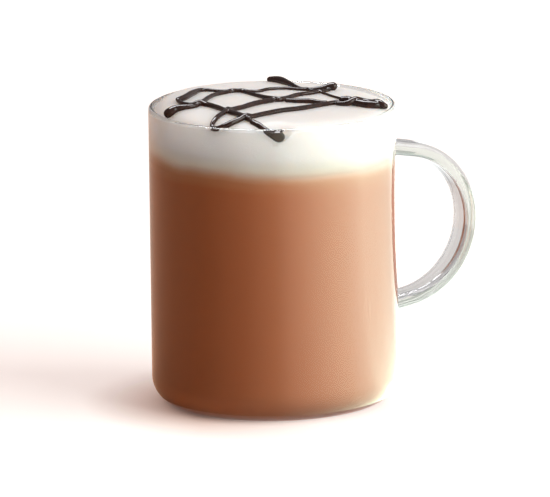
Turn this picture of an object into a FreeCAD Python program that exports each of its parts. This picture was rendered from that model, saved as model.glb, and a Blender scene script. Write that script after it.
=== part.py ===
import FreeCAD, Part
import math
import os

# A white chocolate latte in its clear glass mug: the glass, the latte and the milk foam on it.
# Millimetres, +Z up. The origin is the centre of the base, and the handle points along +X.

# --- The glass body: a straight tumbler with a rounded foot and a fire-polished rim.
OUTER_DIAMETER = 80.0
MUG_HEIGHT = 97.4
WALL = 1.9
BASE_THICKNESS = 2.8
CORNER_RADIUS = 9.0  # outside, where the wall turns into the base

# --- The handle: a flat strip of glass bent into an ear. Heights and reach are its centre line's.
STRIP_WIDTH = 9.4  # along Y
STRIP_THICKNESS = 4.6
STRIP_EDGE_RADIUS = 1.6
HANDLE_REACH = 29.6  # from the body's outside to the furthest point
UPPER_ROOT_HEIGHT = 80.0
LOWER_ROOT_HEIGHT = 27.6
UPPER_ROOT_SLOPE = 10.8  # degrees that the strip falls on its way out
LOWER_ROOT_SLOPE = 9.5  # degrees that the strip rises on its way out
UPPER_BEND_RADIUS = 24.0  # the lower bend's radius follows from it
ROOT_FILLET = 1.6  # the flare where the strip is welded to the body

# --- The contents. The latte's surface is level, and the foam stands on it.
CONTENTS_CLEARANCE = 0.02
LATTE_LEVEL = 81.2
FOAM_RISE = 1.6  # of the foam's middle above the rim
FOAM_LEAN = 0.038  # how steeply the foam's top rises towards its high side
FOAM_HIGH_SIDE = 153.0  # degrees from +X, anticlockwise seen from above
FOAM_EDGE_DROP = 1.3  # from the rim down to where the foam meets the glass
FOAM_SHOULDER_POWER = 14  # a higher power gives a tighter shoulder
FOAM_GRID_STEP = 2.0  # between the points that carry the foam's top

# Worked out from the sizes above.
OUTER_RADIUS = OUTER_DIAMETER / 2
INNER_RADIUS = OUTER_RADIUS - WALL
INNER_CORNER_RADIUS = CORNER_RADIUS - WALL
STRIP_ROOT_RADIUS = OUTER_RADIUS - WALL / 2  # the strip's ends lie inside the body's wall

UP = FreeCAD.Vector(0, 0, 1)
SAME_POINT = 1e-6  # points closer than this are one point
ON_SURFACE = 1e-3  # a point closer than this to a surface is on it
FULL_TURN = 360


def upright(x, z):
    """A point of the upright plane that the handle's centre line and the profiles lie in."""
    return FreeCAD.Vector(x, 0, z)


def on_circle(centre, radius, degrees):
    angle = math.radians(degrees)
    return centre + upright(radius * math.cos(angle), radius * math.sin(angle))


def bend(centre, radius, first, last):
    """An arc in the upright plane from one angle to another, in degrees from +X towards +Z."""
    points = [on_circle(centre, radius, angle) for angle in (first, (first + last) / 2, last)]
    return Part.Arc(*points).toShape()


def chain(*pieces):
    """A wire through edges and points in turn, with straight lines between them."""
    edges = []
    end = None
    for piece in pieces:
        is_edge = isinstance(piece, Part.Edge)
        start = piece.valueAt(piece.FirstParameter) if is_edge else piece
        if end is not None and end.distanceToPoint(start) > SAME_POINT:
            edges.append(Part.makeLine(end, start))
        if is_edge:
            edges.append(piece)
        end = piece.valueAt(piece.LastParameter) if is_edge else piece
    return Part.Wire(edges)


def turned(*pieces):
    """The solid that a closed profile in the upright plane sweeps round the axis."""
    profile = chain(*pieces, pieces[0])
    return Part.Face(profile).revolve(upright(0, 0), UP, FULL_TURN)


def tumbler():
    corner = upright(OUTER_RADIUS - CORNER_RADIUS, CORNER_RADIUS)
    rim = upright(OUTER_RADIUS - WALL / 2, MUG_HEIGHT - WALL / 2)
    inner_corner = upright(INNER_RADIUS - INNER_CORNER_RADIUS, BASE_THICKNESS + INNER_CORNER_RADIUS)
    return turned(
        upright(0, 0),
        bend(corner, CORNER_RADIUS, -90, 0),
        bend(rim, WALL / 2, 0, 180),
        bend(inner_corner, INNER_CORNER_RADIUS, 0, -90),
        upright(0, BASE_THICKNESS),
    )


def handle_path():
    """The strip's centre line: two straight arms, each with a bend, that meet at the furthest point."""
    reach = OUTER_RADIUS + HANDLE_REACH
    upper = math.radians(UPPER_ROOT_SLOPE)
    lower = math.radians(LOWER_ROOT_SLOPE)
    upper_x = reach - UPPER_BEND_RADIUS
    upper_fall = (upper_x - STRIP_ROOT_RADIUS) * math.tan(upper) + UPPER_BEND_RADIUS / math.cos(upper)
    middle_height = UPPER_ROOT_HEIGHT - upper_fall
    # The lower bend touches both the lower arm and the upright at the furthest point.
    lower_rise = middle_height - LOWER_ROOT_HEIGHT - (reach - STRIP_ROOT_RADIUS) * math.tan(lower)
    lower_bend_radius = lower_rise / (1 / math.cos(lower) - math.tan(lower))
    return chain(
        upright(STRIP_ROOT_RADIUS, UPPER_ROOT_HEIGHT),
        bend(upright(upper_x, middle_height), UPPER_BEND_RADIUS, 90 - UPPER_ROOT_SLOPE, 0),
        bend(upright(reach - lower_bend_radius, middle_height), lower_bend_radius, 0, LOWER_ROOT_SLOPE - 90),
        upright(STRIP_ROOT_RADIUS, LOWER_ROOT_HEIGHT),
    )


def handle():
    """The strip, swept along its centre line with rounded edges."""
    # Only the outline of this block's bottom face is used, so any height does.
    section = Part.makeBox(STRIP_THICKNESS, STRIP_WIDTH, STRIP_THICKNESS)
    section.translate(FreeCAD.Vector(-STRIP_THICKNESS / 2, -STRIP_WIDTH / 2, 0))
    corners = [edge for edge in section.Edges if edge.BoundBox.ZLength > SAME_POINT]
    section = section.makeFillet(STRIP_EDGE_RADIUS, corners)
    outline = min(section.Faces, key=lambda face: face.CenterOfMass.z).OuterWire
    # The section lies level, so it is turned to face along the upper arm.
    outline.rotate(FreeCAD.Vector(0, 0, 0), FreeCAD.Vector(0, 1, 0), 90 + UPPER_ROOT_SLOPE)
    outline.translate(upright(STRIP_ROOT_RADIUS, UPPER_ROOT_HEIGHT))
    return handle_path().makePipeShell([outline], True, False)


def is_weld(edge):
    """Whether an edge is on the body's outside, round one of the handle's roots."""
    middle = edge.valueAt((edge.FirstParameter + edge.LastParameter) / 2)
    outside = abs(math.hypot(middle.x, middle.y) - OUTER_RADIUS) < ON_SURFACE
    reach = STRIP_THICKNESS + STRIP_WIDTH
    near_upper = abs(middle.z - UPPER_ROOT_HEIGHT) < reach
    near_lower = abs(middle.z - LOWER_ROOT_HEIGHT) < reach
    return outside and middle.x > 0 and abs(middle.y) < STRIP_WIDTH and (near_upper or near_lower)


def glass_mug():
    mug = tumbler().fuse(handle())
    welds = [edge for edge in mug.Edges if is_weld(edge)]
    return mug.makeFillet(ROOT_FILLET, welds).Solids[0]


def cavity():
    """What the tumbler holds up to its rim, a clearance inside the glass."""
    radius = INNER_RADIUS - CONTENTS_CLEARANCE
    bottom = BASE_THICKNESS + CONTENTS_CLEARANCE
    corner_radius = INNER_CORNER_RADIUS - CONTENTS_CLEARANCE
    corner = upright(radius - corner_radius, bottom + corner_radius)
    top = MUG_HEIGHT + FOAM_RISE + FOAM_LEAN * OUTER_DIAMETER
    return turned(
        upright(0, bottom),
        bend(corner, corner_radius, -90, 0),
        upright(radius, top),
        upright(0, top),
    )


def slab(bottom, top):
    """A block wider than the mug, from one height to another."""
    corner = FreeCAD.Vector(-OUTER_DIAMETER, -OUTER_DIAMETER, bottom)
    return Part.makeBox(2 * OUTER_DIAMETER, 2 * OUTER_DIAMETER, top - bottom, corner)


def foam_height(x, y):
    """The foam's top: a leaning plateau that rounds down to the glass all the way round."""
    side = math.radians(FOAM_HIGH_SIDE)
    plateau = FOAM_RISE + FOAM_LEAN * (x * math.cos(side) + y * math.sin(side))
    share = math.hypot(x, y) / INNER_RADIUS
    if share <= 1:
        fall = share ** FOAM_SHOULDER_POWER
    else:
        fall = 1 + FOAM_SHOULDER_POWER * (share - 1)
    return MUG_HEIGHT + plateau - fall * (plateau + FOAM_EDGE_DROP)


def milk_foam():
    steps = math.ceil(OUTER_RADIUS / FOAM_GRID_STEP)
    places = [i * FOAM_GRID_STEP for i in range(-steps, steps + 1)]
    rows = [[FreeCAD.Vector(x, y, foam_height(x, y)) for y in places] for x in places]
    top = Part.BSplineSurface()
    top.interpolate(rows)
    under_top = top.toShape().extrude(-MUG_HEIGHT * UP)
    return cavity().common(slab(LATTE_LEVEL, 2 * MUG_HEIGHT)).common(under_top).Solids[0]


def latte():
    return cavity().common(slab(0, LATTE_LEVEL)).Solids[0]


os.makedirs("parts", exist_ok=True)
for name, shape in (("glass_mug", glass_mug()), ("latte", latte()), ("milk_foam", milk_foam())):
    shape.exportStep(f"parts/{name}.step")
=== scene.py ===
import math

import bmesh
import bpy
import numpy as np
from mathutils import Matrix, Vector, noise


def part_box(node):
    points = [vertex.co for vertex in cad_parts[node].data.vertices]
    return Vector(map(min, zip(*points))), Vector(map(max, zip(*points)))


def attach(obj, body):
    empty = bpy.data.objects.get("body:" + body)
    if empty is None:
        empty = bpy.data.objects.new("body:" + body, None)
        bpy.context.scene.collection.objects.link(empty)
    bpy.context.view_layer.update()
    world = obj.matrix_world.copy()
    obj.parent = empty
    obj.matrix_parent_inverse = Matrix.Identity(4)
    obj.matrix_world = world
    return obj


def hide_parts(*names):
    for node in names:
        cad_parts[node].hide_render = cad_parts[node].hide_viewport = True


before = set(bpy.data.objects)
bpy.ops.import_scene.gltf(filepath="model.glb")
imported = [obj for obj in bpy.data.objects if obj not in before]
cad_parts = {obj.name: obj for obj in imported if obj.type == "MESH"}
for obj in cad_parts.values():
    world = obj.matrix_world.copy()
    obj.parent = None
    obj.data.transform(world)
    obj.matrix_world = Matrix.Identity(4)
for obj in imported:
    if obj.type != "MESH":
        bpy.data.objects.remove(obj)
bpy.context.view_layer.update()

# A white chocolate latte in its clear glass mug. Lengths are in metres, in the CAD frame: the
# origin is the centre of the base, +Z is up and the handle points along +X.

MM = 0.001

# --- Sizes read from the CAD solids.
glass_low, glass_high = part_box("glass_mug")
latte_low, latte_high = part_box("latte")
OUTER_RADIUS = -glass_low.x
RIM_HEIGHT = glass_high.z
INNER_RADIUS = latte_high.x  # the contents', a clearance inside the glass
LATTE_LEVEL = latte_high.z
FLOOR_OF_CUP = latte_low.z

# --- The foam's top, as the CAD foam has it.
FOAM_RISE = 1.6 * MM
FOAM_LEAN = 0.038
FOAM_HIGH_SIDE = math.radians(153)
FOAM_EDGE_DROP = 1.3 * MM
FOAM_SHOULDER_POWER = 14

# --- How much wider the contents are than in the CAD. They reach into the wall, so no air shows.
WETTING = 0.06 * MM

# --- The camera looks from here: turned about the mug's axis, and raised.
VIEW_TURN = math.radians(-26.6)
VIEW_RISE = math.radians(12.1)
VIEW_DISTANCE = 5.0
VIEW_WIDTH = 177.8 * MM
VIEW_ROLL = math.radians(-0.75)
VIEW_AIM_RIGHT = 0.36 * MM
VIEW_AIM_HEIGHT = 50 * MM
SENSOR = 36.0  # its width, in the millimetres that the lens is given in


def from_view(right, away, up):
    """A place given as the camera sees the mug: to the right, away from the camera and up."""
    return Vector((
        right * math.cos(VIEW_TURN) - away * math.sin(VIEW_TURN),
        right * math.sin(VIEW_TURN) + away * math.cos(VIEW_TURN),
        up,
    ))


# ------------------------------------------------------------------------------ node helpers

def new_material(name):
    material = bpy.data.materials.new(name)
    material.use_nodes = True
    material.node_tree.nodes.clear()
    return material, material.node_tree


def add_node(tree, kind, inputs=None, **settings):
    """A node with its settings and inputs. An input that is a socket is linked."""
    node = tree.nodes.new(kind)
    for key, value in settings.items():
        setattr(node, key, value)
    for key, value in (inputs or {}).items():
        if isinstance(value, bpy.types.NodeSocket):
            tree.links.new(value, node.inputs[key])
        else:
            node.inputs[key].default_value = value
    return node


def maths(tree, operation, a, b=0.0, clamp=False):
    return add_node(tree, "ShaderNodeMath", {0: a, 1: b}, operation=operation, use_clamp=clamp).outputs[0]


def mix_colour(tree, factor, a, b):
    node = add_node(tree, "ShaderNodeMix", {0: factor, 6: a, 7: b}, data_type="RGBA")
    return node.outputs[2]


def dot(tree, place, direction):
    """How far a place lies along a direction."""
    inputs = {0: place, 1: tuple(direction)}
    return add_node(tree, "ShaderNodeVectorMath", inputs, operation="DOT_PRODUCT").outputs["Value"]


def ramp(tree, factor, stops, interpolation="EASE"):
    node = add_node(tree, "ShaderNodeValToRGB", {0: factor})
    elements = node.color_ramp.elements
    node.color_ramp.interpolation = interpolation
    while len(elements) < len(stops):
        elements.new(0.5)
    for element, (place, colour) in zip(elements, stops):
        element.position = place
        element.color = (*colour, 1)
    return node.outputs[0]


def finish_material(tree, surface):
    add_node(tree, "ShaderNodeOutputMaterial", {0: surface})


# --------------------------------------------------------------------------------- materials

def glass_material():
    """Clear glass. Shadow rays pass straight through, so that the contents are lit."""
    material, tree = new_material("clear glass")
    glass = add_node(tree, "ShaderNodeBsdfPrincipled", {
        "Base Color": (0.985, 0.99, 0.99, 1),
        "Roughness": 0.0,
        "IOR": 1.47,
        "Transmission Weight": 1.0,
    })
    clear = add_node(tree, "ShaderNodeBsdfTransparent", {"Color": (0.95, 0.96, 0.96, 1)})
    path = add_node(tree, "ShaderNodeLightPath")
    finish_material(tree, add_node(tree, "ShaderNodeMixShader", {
        0: path.outputs["Is Shadow Ray"], 1: glass.outputs[0], 2: clear.outputs[0],
    }).outputs[0])
    return material


LATTE_COLOUR = (0.495, 0.134, 0.038)
FOAM_COLOUR = (0.81, 0.777, 0.758)
BLEND_DEPTH = 12 * MM  # over which the latte turns into foam
BOUNDARY_LEAN = 0.045  # how steeply the boundary rises towards the foam's high side
BOUNDARY_WANDER = 2.5 * MM
SOFT_FROM = 0.45  # the share of foam from which light starts to soak in
SOFTENING = 3.0  # how fast it does so


def drink_material(name):
    """The latte and the foam share this, so that one turns into the other with no line between them."""
    material, tree = new_material(name)
    place = add_node(tree, "ShaderNodeTexCoord").outputs["Object"]
    axes = add_node(tree, "ShaderNodeSeparateXYZ", {0: place})
    lean_x = maths(tree, "MULTIPLY", axes.outputs[0], -BOUNDARY_LEAN * math.cos(FOAM_HIGH_SIDE))
    lean_y = maths(tree, "MULTIPLY", axes.outputs[1], -BOUNDARY_LEAN * math.sin(FOAM_HIGH_SIDE))
    swirl = add_node(tree, "ShaderNodeTexNoise", {"Vector": place, "Scale": 60.0, "Detail": 3.0})
    wander = maths(tree, "MULTIPLY", maths(tree, "SUBTRACT", swirl.outputs[0], 0.5), BOUNDARY_WANDER)
    height = maths(tree, "ADD", axes.outputs[2], maths(tree, "ADD", lean_x, lean_y))
    height = maths(tree, "ADD", height, wander)
    above_blend = maths(tree, "SUBTRACT", height, LATTE_LEVEL - BLEND_DEPTH / 2)
    share = maths(tree, "DIVIDE", above_blend, BLEND_DEPTH, True)
    colour = ramp(tree, share, [
        (0.0, LATTE_COLOUR),
        (0.30, (0.53, 0.19, 0.075)),
        (0.41, (0.59, 0.28, 0.15)),
        (0.52, (0.68, 0.44, 0.32)),
        (0.63, (0.73, 0.60, 0.49)),
        (0.75, (0.77, 0.70, 0.62)),
        (1.0, FOAM_COLOUR),
    ], "LINEAR")
    bubbles = add_node(tree, "ShaderNodeTexVoronoi", {"Vector": place, "Scale": 1400.0}, feature="F1")
    froth = maths(tree, "MULTIPLY", bubbles.outputs["Distance"], share)
    bump = add_node(tree, "ShaderNodeBump", {"Height": froth, "Strength": 0.25, "Distance": 0.15 * MM})
    foamy = maths(tree, "MULTIPLY", maths(tree, "SUBTRACT", share, SOFT_FROM, True), SOFTENING, True)
    surface = add_node(tree, "ShaderNodeBsdfPrincipled", {
        "Base Color": colour,
        "Roughness": 0.55,
        "Specular IOR Level": 0.25,
        "Subsurface Weight": foamy,
        "Subsurface Radius": (1.0, 0.85, 0.72),
        "Subsurface Scale": 12 * MM,
        "Normal": bump.outputs[0],
    })
    finish_material(tree, surface.outputs[0])
    return material


def sauce_material():
    material, tree = new_material("chocolate sauce")
    place = add_node(tree, "ShaderNodeTexCoord").outputs["Object"]
    patches = add_node(tree, "ShaderNodeTexNoise", {"Vector": place, "Scale": 500.0, "Detail": 2.0})
    colour = ramp(tree, patches.outputs[0], [(0.35, (0.016, 0.005, 0.003)), (0.7, (0.034, 0.011, 0.006))])
    ripples = add_node(tree, "ShaderNodeTexNoise", {"Vector": place, "Scale": 900.0, "Detail": 1.0})
    bump = add_node(tree, "ShaderNodeBump", {
        "Height": ripples.outputs[0], "Strength": 0.15, "Distance": 0.2 * MM,
    })
    surface = add_node(tree, "ShaderNodeBsdfPrincipled", {
        "Base Color": colour,
        "Roughness": 0.08,
        "IOR": 1.45,
        "Specular IOR Level": 0.38,
        "Normal": bump.outputs[0],
    })
    finish_material(tree, surface.outputs[0])
    return material


# ------------------------------------------------------------------------------ mesh helpers

SHARP_EDGE = math.radians(50)


def mesh_piece(name, vertices, faces, material):
    mesh = bpy.data.meshes.new(name)
    mesh.from_pydata(vertices, [], faces)
    mesh.validate()
    mesh.shade_smooth()
    mesh.set_sharp_from_angle(angle=SHARP_EDGE)
    mesh.materials.append(material)
    piece = bpy.data.objects.new(name, mesh)
    bpy.context.scene.collection.objects.link(piece)
    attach(piece, "root")
    return piece


def lathe_faces(rings, around):
    """Faces between rings of vertices, each ring numbered on from the last."""
    faces = []
    for ring in range(rings - 1):
        for step in range(around):
            here = ring * around + step
            beside = ring * around + (step + 1) % around
            faces.append((here, beside, beside + around, here + around))
    return faces


def lathe(rings, around, place):
    """Vertices of rings that place(ring, angle) gives, closed by a vertex at each end."""
    vertices = []
    for ring in range(rings):
        vertices += [place(ring, math.tau * step / around) for step in range(around)]
    faces = lathe_faces(rings, around)
    for ring, turn in ((0, -1), (rings - 1, 1)):
        first = ring * around
        centre = sum((Vector(v) for v in vertices[first:first + around]), Vector()) / around
        vertices.append(tuple(centre))
        for step in range(around):
            edge = (first + step, first + (step + 1) % around)
            faces.append((*edge[::turn], len(vertices) - 1))
    return vertices, faces


# ------------------------------------------------------------------------------------- glass

# The glass's shape as the CAD has it, so that its facets can be shaded as the true curves.
WALL = 1.9 * MM
CONTENTS_CLEARANCE = 0.02 * MM
BASE_THICKNESS = FLOOR_OF_CUP - CONTENTS_CLEARANCE
CORNER_RADIUS = 9.0 * MM
INNER_CORNER_RADIUS = CORNER_RADIUS - WALL
STRIP_WIDTH = 9.4 * MM
STRIP_THICKNESS = 4.6 * MM
STRIP_EDGE_RADIUS = 1.6 * MM
HANDLE_REACH = glass_high.x - STRIP_THICKNESS / 2  # of its centre line, from the mug's axis
UPPER_ROOT_HEIGHT = 80.0 * MM
LOWER_ROOT_HEIGHT = 27.6 * MM
UPPER_ROOT_SLOPE = math.radians(10.8)
LOWER_ROOT_SLOPE = math.radians(9.5)
UPPER_BEND_RADIUS = 24.0 * MM
ON_SURFACE = 0.01 * MM  # a point closer than this to a curve is shaded as that curve
CHORD_ERROR = 0.06 * MM  # how far a facet of the CAD mesh may lie off its curve
FINER = 1  # times that a facet of a tight curve is cut in four
TOO_FAR = 1.0  # further than any surface of the glass
SAME_WAY = 0.5  # the cosine from which two directions count as the same
NO_LENGTH = 1e-12  # added to a length that is divided by


def on_ring(across, up, ring_across, ring_up, radius, outward):
    """The distance to a ring's round surface and the normal there, in the plane through the axis."""
    a, u = across - ring_across, up - ring_up
    length = np.hypot(a, u) + NO_LENGTH
    return outward * (length - radius), outward * a / length, outward * u / length


def tumbler_normals(across, up):
    """For each point the distance and normal of every surface of the tumbler that could hold it."""
    outer, inner = OUTER_RADIUS, OUTER_RADIUS - WALL
    inner_corner = INNER_CORNER_RADIUS
    flat = np.zeros_like(across)
    corner = on_ring(across, up, outer - CORNER_RADIUS, CORNER_RADIUS, CORNER_RADIUS, 1)
    turn = on_ring(across, up, inner - inner_corner, BASE_THICKNESS + inner_corner, inner_corner, -1)
    rim = on_ring(across, up, outer - WALL / 2, RIM_HEIGHT - WALL / 2, WALL / 2, 1)
    low = up < CORNER_RADIUS
    return [
        (np.where(up > RIM_HEIGHT - WALL / 2, rim[0], TOO_FAR), rim[1], rim[2]),
        (np.where(low & (across > outer - CORNER_RADIUS), corner[0], TOO_FAR), corner[1], corner[2]),
        (np.where(up < BASE_THICKNESS + inner_corner, turn[0], TOO_FAR), turn[1], turn[2]),
        (across - outer, flat + 1, flat),
        (inner - across, flat - 1, flat),
        (-up, flat, flat - 1),
        (up - BASE_THICKNESS, flat, flat + 1),
    ]


def handle_normals(x, y, z):
    """The distance to the handle's surface and its normal there."""
    root = OUTER_RADIUS - WALL / 2
    upper_x = HANDLE_REACH - UPPER_BEND_RADIUS
    arm_fall = (upper_x - root) * math.tan(UPPER_ROOT_SLOPE)
    middle = UPPER_ROOT_HEIGHT - (arm_fall + UPPER_BEND_RADIUS / math.cos(UPPER_ROOT_SLOPE))
    rise = middle - LOWER_ROOT_HEIGHT - (HANDLE_REACH - root) * math.tan(LOWER_ROOT_SLOPE)
    lower_radius = rise / (1 / math.cos(LOWER_ROOT_SLOPE) - math.tan(LOWER_ROOT_SLOPE))
    above = z > middle
    radius = np.where(above, UPPER_BEND_RADIUS, lower_radius)
    end = np.where(above, math.pi / 2 - UPPER_ROOT_SLOPE, math.pi / 2 - LOWER_ROOT_SLOPE)
    a, u = x - (HANDLE_REACH - radius), z - middle
    angle = np.minimum(np.abs(np.arctan2(u, a)), end) * np.where(above, 1, -1)
    depth = a * np.cos(angle) + u * np.sin(angle) - radius
    flat_depth = STRIP_THICKNESS / 2 - STRIP_EDGE_RADIUS
    flat_width = STRIP_WIDTH / 2 - STRIP_EDGE_RADIUS
    past_depth = np.maximum(np.abs(depth) - flat_depth, 0) * np.sign(depth)
    past_width = np.maximum(np.abs(y) - flat_width, 0) * np.sign(y)
    length = np.hypot(past_depth, past_width) + NO_LENGTH
    outward = past_depth / length
    normals = np.stack([outward * np.cos(angle), past_width / length, outward * np.sin(angle)], axis=1)
    return length - STRIP_EDGE_RADIUS, normals


def nearest_surface(points, facing):
    """How far off the glass's surface that faces the same way is from each point, and its normal."""
    x, y, z = points.T
    across = np.hypot(x, y) + NO_LENGTH
    choices = [(distance, np.stack([out * x / across, out * y / across, up], axis=1))
               for distance, out, up in tumbler_normals(across, z)]
    choices.append(handle_normals(x, y, z))
    best = np.full(len(points), TOO_FAR)
    normals = facing.copy()
    for distance, normal in choices:
        fits = (np.abs(distance) < np.abs(best)) & ((normal * facing).sum(axis=1) > SAME_WAY)
        best = np.where(fits, distance, best)
        normals = np.where(fits[:, None], normal, normals)
    return best, normals


def vectors(items, attribute):
    """An attribute of mesh items as rows of three."""
    values = np.empty(len(items) * 3)
    items.foreach_get(attribute, values)
    return values.reshape(-1, 3)


def glass_piece():
    """The CAD's glass with finer facets on its tight curves, each laid on the curve it stands for."""
    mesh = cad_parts["glass_mug"].data.copy()
    for _ in range(FINER):
        work = bmesh.new()
        work.from_mesh(mesh)
        tight = set()
        for face in work.faces:
            middle = face.calc_center_median()
            if middle.x > OUTER_RADIUS or middle.z > RIM_HEIGHT - WALL / 2:
                tight.update(face.edges)
        bmesh.ops.subdivide_edges(work, edges=list(tight), cuts=1, use_grid_fill=True)
        work.to_mesh(mesh)
        work.free()
        points = vectors(mesh.vertices, "co")
        off, normals = nearest_surface(points, vectors(mesh.vertices, "normal"))
        points -= np.where(np.abs(off) < CHORD_ERROR, off, 0)[:, None] * normals
        mesh.vertices.foreach_set("co", points.ravel())
        mesh.update()
    mesh.shade_smooth()
    vertex_of = np.empty(len(mesh.loops), int)
    mesh.loops.foreach_get("vertex_index", vertex_of)
    sizes = np.empty(len(mesh.polygons), int)
    mesh.polygons.foreach_get("loop_total", sizes)
    faces = np.repeat(vectors(mesh.polygons, "normal"), sizes, axis=0)
    off, normals = nearest_surface(vectors(mesh.vertices, "co")[vertex_of], faces)
    blended = vectors(mesh.vertices, "normal")[vertex_of]
    normals = np.where((np.abs(off) < ON_SURFACE)[:, None], normals, blended)
    mesh.normals_split_custom_set([tuple(normal) for normal in normals])
    mesh.materials.clear()
    mesh.materials.append(glass_material())
    piece = bpy.data.objects.new("glass_body", mesh)
    bpy.context.scene.collection.objects.link(piece)
    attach(piece, "root")
    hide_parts("glass_mug")


# ------------------------------------------------------------------------------------- latte

def latte_piece():
    """The latte, up to its level surface and a little into the wall and the floor of the glass."""
    corner_steps = 12
    wall_steps = 60
    around = 256
    radius = INNER_RADIUS + WETTING
    bottom = FLOOR_OF_CUP - WETTING
    corner = INNER_CORNER_RADIUS
    profile = []
    for step in range(corner_steps + 1):
        angle = math.pi / 2 * step / corner_steps
        out = radius - corner + corner * math.sin(angle)
        profile.append((out, bottom + corner - corner * math.cos(angle)))
    for step in range(1, wall_steps + 1):
        profile.append((radius, bottom + corner + (LATTE_LEVEL - bottom - corner) * step / wall_steps))
    profile.append((radius / 2, LATTE_LEVEL))

    def place(ring, angle):
        r, z = profile[ring]
        return (r * math.cos(angle), r * math.sin(angle), z)

    vertices, faces = lathe(len(profile), around, place)
    piece = mesh_piece("latte_drink", vertices, faces, drink_material("latte"))
    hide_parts("latte")


# -------------------------------------------------------------------------------------- foam

def foam_height(x, y):
    """The foam's top as the CAD has it."""
    plateau = FOAM_RISE + FOAM_LEAN * (x * math.cos(FOAM_HIGH_SIDE) + y * math.sin(FOAM_HIGH_SIDE))
    share = min(1.0, math.hypot(x, y) / INNER_RADIUS)
    return RIM_HEIGHT + plateau - share ** FOAM_SHOULDER_POWER * (plateau + FOAM_EDGE_DROP)


LUMP_SIZE = 11 * MM
LUMP_HEIGHT = 0.28 * MM
LUMP_SINK = 0.25 * MM  # the lumps lie this much lower than the plain top
LUMP_FADE_POWER = 10  # the lumps fade out towards the glass
FROTH_SIZE = 1.3 * MM
FROTH_HEIGHT = 0.035 * MM
FROTH_AT_EDGE = 0.3  # the share of the froth that is left beside the glass
LUMP_SLICE, FROTH_SLICE = 0.3, 0.9  # where in the noise each pattern is taken from

# Where the sauce's last drop pulls the foam down beside the glass, as the camera sees it.
DROP_PLACE = from_view(2.2 * MM, -37.0 * MM, 0)
DROP_REACH = 3.4 * MM
DROP_DEPTH = 3.6 * MM


def foam_surface(x, y):
    """The foam's top with its relief: broad soft lumps, fine froth and the dent under the drop."""
    lumps = noise.noise(Vector((x, y, LUMP_SLICE)) / LUMP_SIZE) * LUMP_HEIGHT
    froth = noise.noise(Vector((x, y, FROTH_SLICE)) / FROTH_SIZE) * FROTH_HEIGHT
    share = math.hypot(x, y) / INNER_RADIUS
    inside = max(0.0, 1 - share ** LUMP_FADE_POWER)
    relief = (lumps - LUMP_SINK) * inside + froth * min(1, inside + FROTH_AT_EDGE)
    away = math.hypot(x - DROP_PLACE.x, y - DROP_PLACE.y) / DROP_REACH
    return foam_height(x, y) + relief - DROP_DEPTH * math.exp(-away * away)


def foam_piece():
    around = 512
    top_rings = 110
    side_rings = 40
    crowding = 1.6  # rings lie closer together towards the shoulder
    radius = INNER_RADIUS + WETTING

    def place(ring, angle):
        turn = Vector((math.cos(angle), math.sin(angle)))
        if ring < top_rings:
            share = (ring + 1) / top_rings
            r = radius * (1 - (1 - share) ** crowding)
            x, y = turn * r
            return (x, y, foam_surface(x, y))
        x, y = turn * radius
        down = (ring - top_rings + 1) / side_rings
        top = foam_surface(x, y)
        return (x, y, top + (LATTE_LEVEL - top) * down)

    vertices, faces = lathe(top_rings + side_rings, around, place)
    piece = mesh_piece("milk_foam_top", vertices, faces, drink_material("milk foam"))
    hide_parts("milk_foam")


# ------------------------------------------------------------------------------------- sauce

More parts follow.
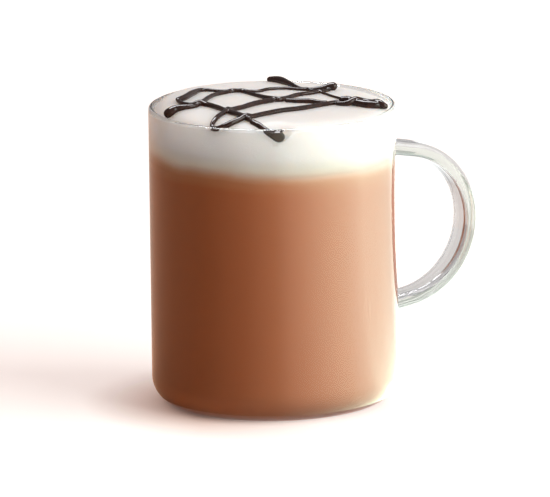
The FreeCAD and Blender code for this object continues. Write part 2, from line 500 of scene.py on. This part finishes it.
# Each strand is poured as one line. Its places are to the right and away from the camera, with
# the strand's width there, all in millimetres.
STRANDS = {
    "left_to_back": [
        (-34.4, -15.4, 2.6), (-32.8, -16.4, 2.8), (-30.6, -15.9, 2.2), (-28.5, -15.8, 1.8),
        (-24.5, -14.0, 1.3), (-22.6, -6.0, 1.3), (-19.1, 4.0, 1.3), (-15.0, 10.0, 1.2),
        (-10.5, 12.4, 1.1), (-5.1, 6.5, 1.2), (1.4, -0.5, 1.7), (5.1, 3.0, 1.4), (8.5, 8.5, 1.3),
        (14.0, 13.0, 1.2), (19.0, 17.5, 1.0),
    ],
    "back_line": [
        (-30.6, -5.0, 1.6), (-28.2, -1.0, 1.8), (-25.5, 6.5, 1.8), (-22.9, 12.5, 1.3), (-17.5, 12.6, 1.0),
        (-9.4, 12.2, 1.0), (-4.5, 13.0, 1.0), (-0.8, 16.4, 1.0), (5.0, 18.6, 1.0), (12.1, 18.0, 1.1),
        (16.5, 18.2, 1.7), (20.0, 18.8, 2.6), (21.2, 19.0, 2.2),
    ],
    "front_run": [
        (-30.6, -5.0, 1.4), (-28.6, -9.5, 1.2), (-25.6, -11.6, 1.3), (-22.4, -11.0, 1.7), (-19.1, -13.9, 1.6),
        (-15.8, -18.6, 1.5), (-12.7, -23.5, 1.6), (-9.4, -28.6, 1.7), (-6.9, -32.6, 1.9),
    ],
    "hook": [
        (1.4, -0.7, 1.5), (-5.1, -7.3, 1.6), (-9.5, -13.6, 1.5), (-13.1, -18.6, 1.5), (-15.6, -23.6, 1.4),
        (-18.2, -29.4, 1.4), (-19.3, -31.9, 1.3), (-18.3, -33.3, 1.4), (-15.9, -33.9, 1.6),
        (-12.7, -33.2, 1.7), (-6.7, -28.8, 1.5), (-1.3, -23.0, 1.5), (9.4, -13.2, 1.5),
        (19.1, -3.6, 1.4), (25.0, -0.8, 1.6),
    ],
    "back_wedge": [
        (-1.4, 33.2, 1.6), (2.6, 30.0, 2.2), (5.4, 26.0, 1.7), (8.9, 20.8, 0.9), (15.3, 14.2, 0.8),
        (20.2, 7.4, 0.8), (25.5, 1.4, 0.9),
    ],
    "right_link": [(4.1, -1.0, 1.3), (8.0, -1.6, 1.5), (12.1, -1.5, 1.6), (18.0, -3.3, 1.2)],
    "right_pool": [
        (21.5, -1.6, 1.6), (24.8, -2.0, 2.2), (28.2, -4.4, 2.4), (31.6, -6.2, 2.4), (34.6, -5.6, 2.3),
        (36.6, -3.6, 2.0),
    ],
    "right_twist": [
        (20.4, -4.2, 1.2), (24.2, -4.6, 1.7), (27.4, -3.0, 2.0), (30.6, -2.8, 2.0), (33.4, -4.6, 2.1),
        (36.0, -6.2, 1.8), (36.9, -5.2, 1.6),
    ],
}
# The last stretch of the front run: right, away, above the rim, and width, in millimetres.
DROP = [
    (-6.9, -32.6, 1.3, 2.1), (-4.6, -35.0, 0.6, 2.2), (-2.8, -36.3, -0.6, 2.3), (-1.2, -36.8, -1.7, 2.8),
    (0.4, -36.8, -2.5, 3.4), (1.9, -36.8, -2.8, 3.9), (3.2, -36.7, -2.7, 3.5), (4.0, -36.6, -2.6, 2.4),
]
DROP_STEP = 0.25  # in millimetres, as the drop's places are
FULLNESS = 1.18  # the strands are this much thicker than listed, but not the drop
STRAND_STEP = 0.25 * MM
STRAND_SIDES = 14
END_START = 0.02 * MM  # a rounded end starts this far in, so that its first ring isn't a point
LYING_HEIGHT = 0.3  # of a strand's middle above the foam, as a share of its width
CROSSING_LIFT = 0.35  # how far a strand climbs over one under it, as a share of that one's width
CROSSING_MARGIN = 0.4 * MM  # how much further than the strands' edges the climb reaches
CROSSING_STEEPNESS = 2
MELT_SIZE = 0.18 * MM  # the grain of the skin that the strands melt into


def smooth_line(points, step):
    """A Catmull-Rom line through points of any dimension, sampled at about the step."""
    p = np.array(points, float)
    p = np.vstack([2 * p[0] - p[1], p, 2 * p[-1] - p[-2]])
    samples = []
    for i in range(1, len(p) - 2):
        length = np.hypot(*(p[i + 1] - p[i])[:2])
        count = max(2, int(length / step))
        for t in np.arange(count) / count:
            a = 2 * p[i]
            b = p[i + 1] - p[i - 1]
            c = 2 * p[i - 1] - 5 * p[i] + 4 * p[i + 1] - p[i + 2]
            d = -p[i - 1] + 3 * p[i] - 3 * p[i + 1] + p[i + 2]
            samples.append((a + b * t + c * t * t + d * t ** 3) / 2)
    samples.append(p[-2])
    return np.array(samples)


def strand_lines():
    """Each strand's samples as (x, y, z of its middle, half width), in the CAD frame."""
    lines = []
    for points in STRANDS.values():
        in_frame = []
        for right, away, width in points:
            place = from_view(right * MM, away * MM, 0)
            in_frame.append((place.x, place.y, width * FULLNESS * MM))
        samples = smooth_line(in_frame, STRAND_STEP)
        line = []
        for x, y, width in samples:
            z = foam_surface(x, y) + LYING_HEIGHT * width
            for under in lines:
                gap = np.hypot(under[:, 0] - x, under[:, 1] - y)
                nearest = gap.argmin()
                under_width = under[nearest, 3] * 2
                reach = (under_width + width) / 2 + CROSSING_MARGIN
                closeness = math.exp(-(gap[nearest] / reach) ** 2 * CROSSING_STEEPNESS)
                z += CROSSING_LIFT * under_width * closeness
            line.append((x, y, z, width / 2))
        lines.append(np.array(line))
    return lines


def drop_line():
    """The front run's end, over the shoulder and down beside the glass to a drop."""
    line = []
    for right, away, above, width in smooth_line(DROP, DROP_STEP):
        place = from_view(right * MM, away * MM, RIM_HEIGHT + above * MM)
        line.append((place.x, place.y, place.z, width * MM / 2))
    return np.array(line)


def tube(line):
    """A closed round tube along a line, with rounded ends."""
    vertices = []
    count = len(line)
    along = np.gradient(line[:, :3], axis=0)
    strides = np.linalg.norm(np.diff(line[:, :3], axis=0), axis=1)
    travelled = np.concatenate([[0], np.cumsum(strides)])
    for i, (x, y, z, half) in enumerate(line):
        forward = Vector(along[i]).normalized()
        side = forward.cross(Vector((0, 0, 1))).normalized()
        up = side.cross(forward)
        from_end = min(travelled[i], travelled[-1] - travelled[i]) + END_START
        taper = math.sqrt(1 - (1 - min(1.0, from_end / half)) ** 2)
        for step in range(STRAND_SIDES):
            angle = math.tau * step / STRAND_SIDES
            spread = side * math.cos(angle) * half * taper + up * math.sin(angle) * half * taper
            vertices.append(tuple(Vector((x, y, z)) + spread))
    faces = lathe_faces(count, STRAND_SIDES)
    faces.append(tuple(reversed(range(STRAND_SIDES))))
    faces.append(tuple(range((count - 1) * STRAND_SIDES, count * STRAND_SIDES)))
    return vertices, faces


def sauce_piece():
    """All strands, melted into one skin where they cross and pool."""
    vertices = []
    faces = []
    for line in [*strand_lines(), drop_line()]:
        tube_vertices, tube_faces = tube(line)
        first = len(vertices)
        vertices += tube_vertices
        faces += [tuple(index + first for index in face) for face in tube_faces]
    piece = mesh_piece("chocolate_sauce", vertices, faces, sauce_material())
    remesh = piece.modifiers.new("melt", "REMESH")
    remesh.mode = "VOXEL"
    remesh.voxel_size = MELT_SIZE
    remesh.use_smooth_shade = True
    soften = piece.modifiers.new("soften", "SMOOTH")
    soften.factor = 0.5
    soften.iterations = 6
    evaluated = piece.evaluated_get(bpy.context.evaluated_depsgraph_get())
    skin = bpy.data.meshes.new_from_object(evaluated)
    piece.modifiers.clear()
    # Sauce that meets the glass lies flat against it.
    limit = INNER_RADIUS + WETTING
    for vertex in skin.vertices:
        out = math.hypot(vertex.co.x, vertex.co.y)
        if out > limit and vertex.co.z < RIM_HEIGHT:
            vertex.co.x *= limit / out
            vertex.co.y *= limit / out
    piece.data = skin
    skin.shade_smooth()


# ------------------------------------------------------------------------------------- studio

def set_camera():
    camera = bpy.data.cameras.new("camera")
    camera.sensor_width = SENSOR
    camera.lens = SENSOR * VIEW_DISTANCE / VIEW_WIDTH
    camera.clip_end = 50
    holder = bpy.data.objects.new("camera", camera)
    bpy.context.scene.collection.objects.link(holder)
    target = from_view(VIEW_AIM_RIGHT, 0, VIEW_AIM_HEIGHT)
    back = from_view(0, -math.cos(VIEW_RISE), math.sin(VIEW_RISE))
    holder.location = target + back * VIEW_DISTANCE
    facing = back.to_track_quat("Z", "Y")
    holder.rotation_euler = facing.to_euler()
    holder.rotation_euler.rotate_axis("Z", VIEW_ROLL)
    bpy.context.scene.camera = holder


def area_light(name, place, target, size, power, colour):
    light = bpy.data.lights.new(name, "AREA")
    light.shape = "RECTANGLE"
    light.size, light.size_y = size
    light.energy = power
    light.color = colour
    holder = bpy.data.objects.new(name, light)
    holder.location = place
    holder.rotation_euler = (place - target).to_track_quat("Z", "Y").to_euler()
    # The contents are lit straight through the glass, so refracted rays must not find the light again.
    holder.visible_transmission = False
    bpy.context.scene.collection.objects.link(holder)


def untouched(tree, path):
    """Whether a ray has met nothing matt on its way from the camera."""
    return maths(tree, "LESS_THAN", path.outputs["Diffuse Depth"], 0.5)


FLOOR_HALF = 6.0
FADE_FROM = 0.5  # from the mug, where the floor starts to turn as white as the background
FADE_DEPTH = 1.5
FLOOR_GLOW = 0.36
# A painted warm shade on the floor beside the mug's foot, on its left: darker, pinker colour and a dimmed
# glow.
PAINTED_SHADE_FROM = 33 * MM  # from the mug's axis, where the painted warm shade on the floor starts to fade outwards
PAINTED_SHADE_FADE = 30 * MM
PAINTED_SHADE_RIGHT = 15 * MM  # the painted shade ends this far to the right, as the camera sees it
PAINTED_SHADE_RIGHT_FADE = 40 * MM
PAINTED_SHADE_DIMMING = 0.3


def floor_material():
    material, tree = new_material("floor")
    path = add_node(tree, "ShaderNodeLightPath")
    seen = untouched(tree, path)
    through_glass = maths(tree, "MULTIPLY", seen, path.outputs["Is Transmission Ray"])
    in_the_open = maths(tree, "SUBTRACT", seen, through_glass)
    white = mix_colour(tree, through_glass, (0.93, 0.93, 0.93, 1), (0.76, 0.755, 0.76, 1))
    # Painted shade: beside the foot, on the left, the floor is painted darker and pinker, as where light that
    # comes through the latte would fall.
    place = add_node(tree, "ShaderNodeTexCoord").outputs["Object"]
    away = add_node(tree, "ShaderNodeVectorMath", {0: place}, operation="LENGTH").outputs["Value"]
    gone = maths(tree, "DIVIDE", maths(tree, "SUBTRACT", away, PAINTED_SHADE_FROM), PAINTED_SHADE_FADE)
    near = maths(tree, "SUBTRACT", 1.0, gone, True)
    across = dot(tree, place, from_view(1, 0, 0))
    on_left = maths(tree, "DIVIDE", maths(tree, "SUBTRACT", PAINTED_SHADE_RIGHT, across), PAINTED_SHADE_RIGHT_FADE, True)
    painted_warm_shade = maths(tree, "MULTIPLY", near, on_left)
    white = mix_colour(tree, painted_warm_shade, white, (0.78, 0.58, 0.50, 1))
    colour = mix_colour(tree, seen, (0.73, 0.70, 0.68, 1), white)
    surface = add_node(tree, "ShaderNodeBsdfDiffuse", {"Color": colour})
    # Far off the floor turns as white as the background, so that no horizon shows.
    far = maths(tree, "DIVIDE", maths(tree, "SUBTRACT", away, FADE_FROM), FADE_DEPTH, True)
    # The painted shade also dims the floor's glow beside the foot.
    painted_glow_dimming = maths(tree, "MULTIPLY", painted_warm_shade, PAINTED_SHADE_DIMMING)
    glow_strength = maths(tree, "SUBTRACT", maths(tree, "ADD", FLOOR_GLOW, far), painted_glow_dimming)
    glow = add_node(tree, "ShaderNodeEmission", {
        "Color": mix_colour(tree, far, (1.0, 0.82, 0.76, 1), (1.0, 1.0, 1.0, 1)),
        "Strength": maths(tree, "MULTIPLY", in_the_open, glow_strength),
    })
    both = add_node(tree, "ShaderNodeAddShader", {0: surface.outputs[0], 1: glow.outputs[0]})
    finish_material(tree, both.outputs[0])
    return material


def make_floor():
    mesh = bpy.data.meshes.new("floor")
    corners = [(-1, -1), (1, -1), (1, 1), (-1, 1)]
    mesh.from_pydata([(x * FLOOR_HALF, y * FLOOR_HALF, 0) for x, y in corners], [], [(0, 1, 2, 3)])
    mesh.materials.append(floor_material())
    floor = bpy.data.objects.new("floor", mesh)
    bpy.context.scene.collection.objects.link(floor)


WALL_BEHIND = (0, 1, 0.25)  # the way to the middle of the dark wall: right, away and up
WALL_FROM = 0.72  # how nearly a ray has to go that way to meet the wall
WALL_EDGE = 4.5  # how fast the wall darkens from its edge
WALL_SHARE = 0.5  # how dark it gets


def make_world():
    world = bpy.data.worlds.new("studio")
    bpy.context.scene.world = world
    world.use_nodes = True
    tree = world.node_tree
    tree.nodes.clear()
    path = add_node(tree, "ShaderNodeLightPath")
    transmitted = path.outputs["Is Transmission Ray"]
    glossy = path.outputs["Is Glossy Ray"]
    # The share of the way from the camera's left to its right.
    direction = add_node(tree, "ShaderNodeTexCoord").outputs["Generated"]
    across = dot(tree, direction, from_view(1, 0, 0))
    share = maths(tree, "ADD", maths(tree, "MULTIPLY", across, 0.5), 0.5)
    ambient = ramp(tree, share, [
        (0.0, (0.69, 0.57, 0.49)), (0.6, (0.59, 0.55, 0.55)), (1.0, (0.66, 0.64, 0.66)),
    ])
    room = ramp(tree, share, [(0.0, (0.34, 0.31, 0.30)), (0.6, (0.55, 0.54, 0.55)), (1.0, (0.9, 0.9, 0.9))])
    # Light that finds its way out through the glass has been counted already.
    scattered = maths(tree, "GREATER_THAN", path.outputs["Diffuse Depth"], 0.5)
    leaving = maths(tree, "MULTIPLY", transmitted, scattered)
    looked_at = maths(tree, "MAXIMUM", transmitted, glossy)
    # What the gloss shows at grazing angles is a dark wall behind the mug.
    facing = dot(tree, direction, from_view(*WALL_BEHIND))
    wall = maths(tree, "MULTIPLY", maths(tree, "SUBTRACT", facing, WALL_FROM), WALL_EDGE, True)
    wall = maths(tree, "MULTIPLY", maths(tree, "MULTIPLY", wall, glossy), WALL_SHARE)
    room = mix_colour(tree, wall, room, (0.06, 0.06, 0.065, 1))
    colour = mix_colour(tree, looked_at, ambient, room)
    colour = mix_colour(tree, path.outputs["Is Camera Ray"], colour, (1, 1, 1, 1))
    strength = maths(tree, "SUBTRACT", 1.0, leaving)
    light = add_node(tree, "ShaderNodeBackground", {"Color": colour, "Strength": strength})
    add_node(tree, "ShaderNodeOutputWorld", {0: light.outputs[0]})


def glowing_card(name, vertices, faces, shades):
    """A card that lights nothing and only shows as a reflection, as bright as its vertices' shades."""
    mesh = bpy.data.meshes.new(name)
    mesh.from_pydata(vertices, [], faces)
    colours = [value for shade in shades for value in (*shade, 1.0)]
    mesh.attributes.new("shade", "FLOAT_COLOR", "POINT").data.foreach_set("color", colours)
    material, tree = new_material(name)
    colour = add_node(tree, "ShaderNodeAttribute", attribute_name="shade").outputs["Color"]
    glow = add_node(tree, "ShaderNodeEmission", {"Color": colour})
    finish_material(tree, glow.outputs[0])
    mesh.materials.append(material)
    card = bpy.data.objects.new(name, mesh)
    card.visible_camera = False
    card.visible_diffuse = False
    card.visible_transmission = False
    card.visible_shadow = False
    bpy.context.scene.collection.objects.link(card)


SHEEN_STEPS = 720
SHEEN_HEIGHT = 0.3 * MM  # just above the floor
SHEEN_RINGS = [(37 * MM, 0.7), (46 * MM, 1.0), (6.0, 1.0)]  # radius and brightness
# Red, green and blue by degrees round the mug, from the side nearest the camera towards its right.
SHEEN = {
    -180: (0.7, 0.58, 0.5),
    -136: (0.75, 0.42, 0.28),
    -100: (0.4, 0.22, 0.13),
    -60: (0.1, 0.05, 0.03),
    -25: (0.25, 0.22, 0.18),
    0: (0.8, 0.8, 0.6),
    24: (2.4, 2.55, 1.95),
    54: (5.0, 5.5, 4.2),
    88: (6.6, 7.9, 6.4),
    128: (2.7, 3.3, 2.8),
    150: (2.6, 2.8, 2.7),
    165: (1.8, 1.9, 1.9),
    180: (0.7, 0.7, 0.7),
}


def make_sheen():
    """The bright surroundings that the glass reflects, laid on the floor round the mug."""
    places = list(SHEEN)
    channels = list(zip(*SHEEN.values()))
    vertices = []
    shades = []
    faces = []
    for step in range(SHEEN_STEPS):
        degrees = 360 * step / SHEEN_STEPS - 180
        angle = math.radians(degrees)
        shade = [float(np.interp(degrees, places, channel)) for channel in channels]
        for ring, (radius, brightness) in enumerate(SHEEN_RINGS):
            right, away = radius * math.sin(angle), -radius * math.cos(angle)
            vertices.append(tuple(from_view(right, away, SHEEN_HEIGHT)))
            shades.append([value * brightness for value in shade])
            if ring + 1 < len(SHEEN_RINGS):
                here = len(SHEEN_RINGS) * step + ring
                beside = len(SHEEN_RINGS) * ((step + 1) % SHEEN_STEPS) + ring
                faces.append((here, here + 1, beside + 1, beside))
    glowing_card("sheen", vertices, faces, shades)


STRIP_CORNERS = [(-0.45, 0.02), (0.35, 0.02), (0.35, 0.47), (-0.45, 0.47)]  # right and away
STRIP_HEIGHT = 0.9
STRIP_SHADE = (19.0, 19.0, 19.6)


def make_strip():
    """A bright strip overhead that draws the streaks of light along the sauce."""
    vertices = [tuple(from_view(right, away, STRIP_HEIGHT)) for right, away in STRIP_CORNERS]
    glowing_card("strip", vertices, [(0, 1, 2, 3)], [STRIP_SHADE] * len(vertices))


KEY_TURN = math.radians(62)  # from the side nearest the camera towards its right
KEY_RISE = math.radians(31)
KEY_DISTANCE = 1.6
KEY_SIZE = (1.5, 1.2)
KEY_POWER = 30.5
KEY_COLOUR = (0.95, 1.0, 0.96)


def light_studio():
    middle = Vector((0, 0, 50 * MM))
    key = Vector((math.sin(KEY_TURN), -math.cos(KEY_TURN), math.tan(KEY_RISE))) * KEY_DISTANCE
    area_light("key", from_view(*key), middle, KEY_SIZE, KEY_POWER, KEY_COLOUR)
    make_world()
    make_sheen()
    make_strip()
    make_floor()
    bpy.context.scene.view_settings.view_transform = "Standard"


set_camera()
glass_piece()
latte_piece()
foam_piece()
sauce_piece()
light_studio()
